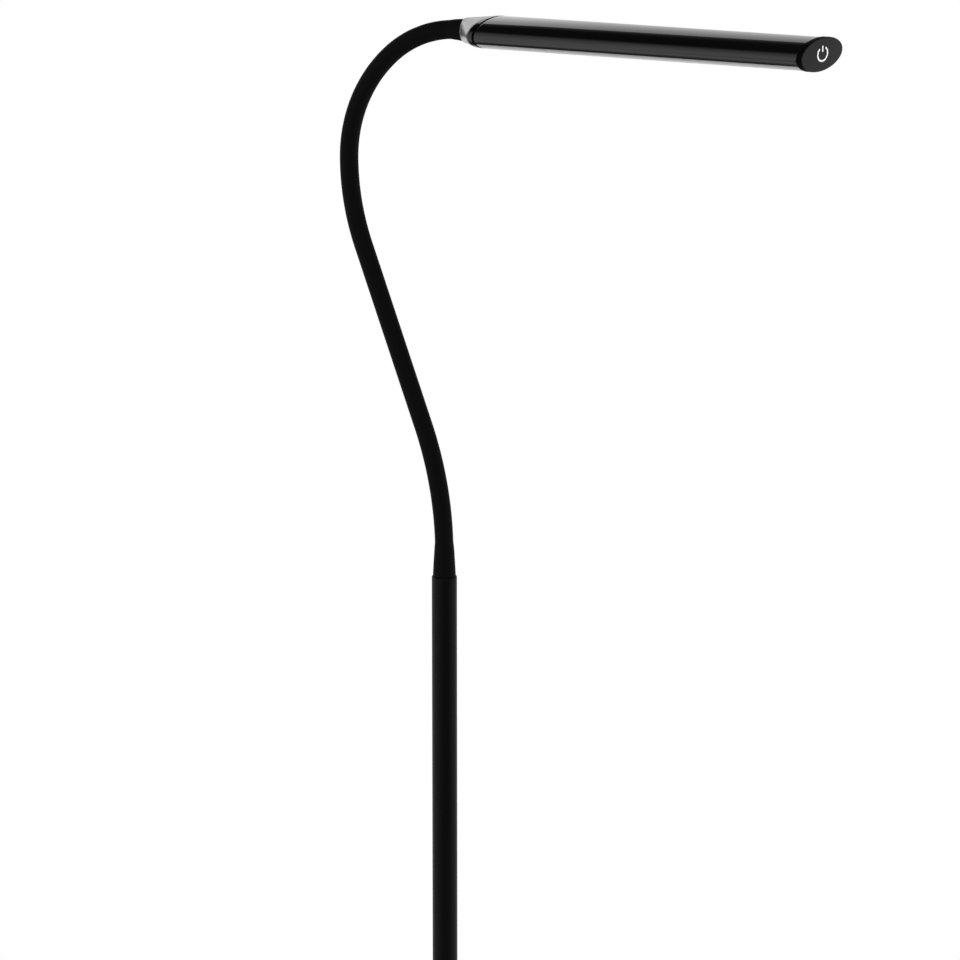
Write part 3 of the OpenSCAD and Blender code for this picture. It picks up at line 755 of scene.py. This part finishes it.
def white_room():
    """World that lights the lamp softly and shows as plain white."""
    fill_strength, backdrop_strength = 0.55, 1.0
    world = bpy.data.worlds.new("white_room")
    bpy.context.scene.world = world
    world.use_nodes = True
    tree = world.node_tree
    fill = tree.nodes["Background"]
    backdrop = tree.nodes.new("ShaderNodeBackground")
    for node, strength in ((fill, fill_strength), (backdrop, backdrop_strength)):
        node.inputs["Color"].default_value = WHITE
        node.inputs["Strength"].default_value = strength
    tree.links.new(shader_mix(tree, seen_directly(tree), fill.outputs[0], backdrop.outputs[0]),
                   tree.nodes["World Output"].inputs[0])


def pale_floor():
    """Round floor that takes the lamp's shadow and fades into the white room."""
    floor_r, fade_from, fade_to = 1.5, 0.25, 1.3
    material = bpy.data.materials.new("pale_floor")
    material.use_nodes = True
    tree = material.node_tree
    paint = tree.nodes["Principled BSDF"]
    paint.inputs["Base Color"].default_value = (0.86, 0.86, 0.86, 1)
    paint.inputs["Roughness"].default_value = 0.8
    paint.inputs["Specular IOR Level"].default_value = 0.1
    glow = tree.nodes.new("ShaderNodeEmission")
    place = tree.nodes.new("ShaderNodeTexCoord")
    reach = tree.nodes.new("ShaderNodeVectorMath")
    reach.operation = "LENGTH"
    tree.links.new(place.outputs["Object"], reach.inputs[0])
    fade = tree.nodes.new("ShaderNodeMapRange")
    fade.interpolation_type = "SMOOTHSTEP"
    fade.inputs["From Min"].default_value = fade_from
    fade.inputs["From Max"].default_value = fade_to
    tree.links.new(reach.outputs["Value"], fade.inputs["Value"])
    factor = math_node(tree, "MULTIPLY", fade.outputs[0], seen_directly(tree))
    tree.links.new(shader_mix(tree, factor, paint.outputs[0], glow.outputs[0]),
                   tree.nodes["Material Output"].inputs[0])
    bm = bmesh.new()
    bmesh.ops.create_circle(bm, segments=128, radius=floor_r, cap_ends=True)
    object_of(bm, "floor", material)


def graded_card(name, rows):
    """A card that only reflections see, from rows of points that each have a shade."""
    material = bpy.data.materials.new(name)
    material.use_nodes = True
    tree = material.node_tree
    glow = tree.nodes.new("ShaderNodeEmission")
    shade = tree.nodes.new("ShaderNodeAttribute")
    shade.attribute_name = "shade"
    tree.links.new(shade.outputs["Fac"], glow.inputs["Color"])
    tree.links.new(glow.outputs[0], tree.nodes["Material Output"].inputs[0])
    bm = bmesh.new()
    layer = bm.verts.layers.float.new("shade")
    bmesh.ops.create_grid(bm, x_segments=len(rows[0]) - 1, y_segments=len(rows) - 1, size=1)
    for vert, (point, grey) in zip(bm.verts, [cell for row in rows for cell in row]):
        vert.co = point
        vert[layer] = grey
    card = object_of(bm, name, material)
    card.visible_camera = card.visible_diffuse = card.visible_shadow = False
    card.visible_transmission = card.visible_volume_scatter = False


def back_cards():
    """Behind the head, along it: a pale card, and over its crisp edge a dark one that fades to white."""
    reach = 1.2
    foot_angle, foot_shade, edge_shade = -12, 1.06, 0.86
    # The edge between the two cards: x, angle above level in degrees, and shade of the pale card there
    edge = ((-2.2, 50, 1.2), (-0.63, 40, 1.2), (-0.585, 37, 1.15), (-0.53, 33.6, 0.95),
            (-0.46, 32, 0.78), (-0.4, 31, 0.75), (0.3, 17, 0.75), (1.6, 15, 0.8))
    # Angle above the edge and shade, then angle above level and shade
    dark_from_edge = ((0, 0.15), (4, 0.06), (8, 0.028), (13, 0.01))
    dark_overhead = ((72, 0.01), (82, 0.02), (92, 0.2), (102, 0.42), (118, 0.62), (140, 0.82), (165, 1.0))

    def at(x, angle):
        turn = math.radians(angle)
        return Vector((x, HEAD_AT.y + reach * math.cos(turn), HEAD_AT.z + reach * math.sin(turn)))

    graded_card("pale_back_card", [[(at(x, foot_angle), pale * foot_shade) for x, angle, pale in edge],
                                   [(at(x, angle / 2), pale) for x, angle, pale in edge],
                                   [(at(x, angle), pale * edge_shade) for x, angle, pale in edge]])
    rows = [[(at(x, angle + rise), grey) for x, angle, pale in edge] for rise, grey in dark_from_edge]
    rows += [[(at(x, level), grey) for x, angle, pale in edge] for level, grey in dark_overhead]
    graded_card("dark_back_card", rows)


def front_card():
    """Low in front of the pole and round it, fading to white at its sides and its top."""
    reach, foot, fade = 1.8, -0.8, 0.35
    # Turn from the view in degrees, shade, and height up to which the card is dark
    columns = ((-58, 1.0, 0.1), (-42, 0.02, 0.2), (-26, 0.01, 0.35), (-10, 0.01, 0.9), (8, 0.01, 1.1),
               (24, 0.01, 1.1), (42, 0.02, 1.1), (62, 1.0, 1.1))
    rows = [[], [], []]
    for angle, shade, top in columns:
        turn = VIEW_AZ + math.radians(angle)
        for row, z, grey in zip(rows, (foot, top, top + fade), (shade, shade, 1.0)):
            row.append((Vector((reach * math.sin(turn), -reach * math.cos(turn), z)), grey))
    graded_card("front_card", rows)


def floor_card():
    """Just over the floor below the head, fading to white outwards."""
    half, steps = 1.1, 22
    middle = Vector((-0.6, 0.75, 0.03))
    dark_r, grey_r = 0.45, 0.75
    core, dark, grey, white = 0.1, 0.12, 0.5, 1.0
    across = [half * (2 * k / steps - 1) for k in range(steps + 1)]

    def shade(r):
        if r < dark_r:
            return core
        if r < grey_r:
            return dark + (grey - dark) * (r - dark_r) / (grey_r - dark_r)
        return min(white, grey + (white - grey) * (r - grey_r) / (half - grey_r))

    rows = [[(middle + Vector((x, y, 0)), shade(math.hypot(x, y))) for x in across] for y in across]
    graded_card("floor_card", rows)


def end_card(name, side, reach, turns):
    """Beyond an end of the head, so that its top stays dark when it is seen along its length."""
    # Angle above level in degrees, and shade
    levels = ((0, 1.0), (3, 0.3), (10, 0.1), (20, 0.04), (44, 0.03), (60, 1.0))
    rows = []
    for angle, grey in levels:
        rise = math.radians(angle)
        row = []
        for turn in turns:
            along, across = math.cos(math.radians(turn)), math.sin(math.radians(turn))
            place = Vector((side * along * math.cos(rise), across * math.cos(rise), math.sin(rise)))
            row.append((HEAD_AT + reach * place, 1.0 if turn in (turns[0], turns[-1]) else grey))
        rows.append(row)
    graded_card(name, rows)


def soft_light(name, place, aim, size, power):
    light = bpy.data.lights.new(name, "AREA")
    light.shape = "RECTANGLE"
    light.size, light.size_y = size
    light.energy = power
    lamp = bpy.data.objects.new(name, light)
    lamp.location = place
    lamp.rotation_euler = (Vector(aim) - Vector(place)).to_track_quat("-Z", "Y").to_euler()
    bpy.context.scene.collection.objects.link(lamp)
    lamp.visible_camera = lamp.visible_glossy = False


white_room()
pale_floor()
back_cards()
front_card()
floor_card()
end_card("near_end_card", side=1, reach=1.4, turns=(-36, -26, 0, 26, 36))
end_card("far_end_card", side=-1, reach=2.4, turns=(-46, -38, -16, 0, 7))
soft_light("overhead_box", place=(0.2, -0.5, 3.0), aim=(0.1, 0, 1.0), size=(2.2, 1.6), power=14)
soft_light("side_box", place=(-2.0, -1.8, 1.8), aim=(0.05, 0, 0.9), size=(1.4, 1.8), power=12)
soft_light("end_box", place=(2.4, -0.6, 1.5), aim=(0.25, 0, 1.29), size=(1.0, 1.0), power=24)


# Camera

def photo_camera():
    """Camera at the photograph's viewing angle, aimed beside and above the pole's rim."""
    distance = 2.7869
    focal_px, frame_px, sensor = 4425.2, 960, 36.0
    aim_right, aim_rise = 0.02257, 0.06244
    camera = bpy.data.cameras.new("camera")
    camera.sensor_fit = "HORIZONTAL"
    camera.sensor_width = sensor
    camera.lens = focal_px / frame_px * sensor
    viewer = bpy.data.objects.new("camera", camera)
    bpy.context.scene.collection.objects.link(viewer)
    right = Vector((math.cos(VIEW_AZ), math.sin(VIEW_AZ), 0))
    towards_viewer = Vector((math.sin(VIEW_AZ) * math.cos(VIEW_EL),
                             -math.cos(VIEW_AZ) * math.cos(VIEW_EL), math.sin(VIEW_EL)))
    viewer.location = aim_right * right + Vector((0, 0, POLE_TOP + aim_rise)) + distance * towards_viewer
    viewer.rotation_euler = (-towards_viewer).to_track_quat("-Z", "Y").to_euler()
    bpy.context.scene.camera = viewer


photo_camera()
bpy.context.scene.view_settings.view_transform = "Standard"
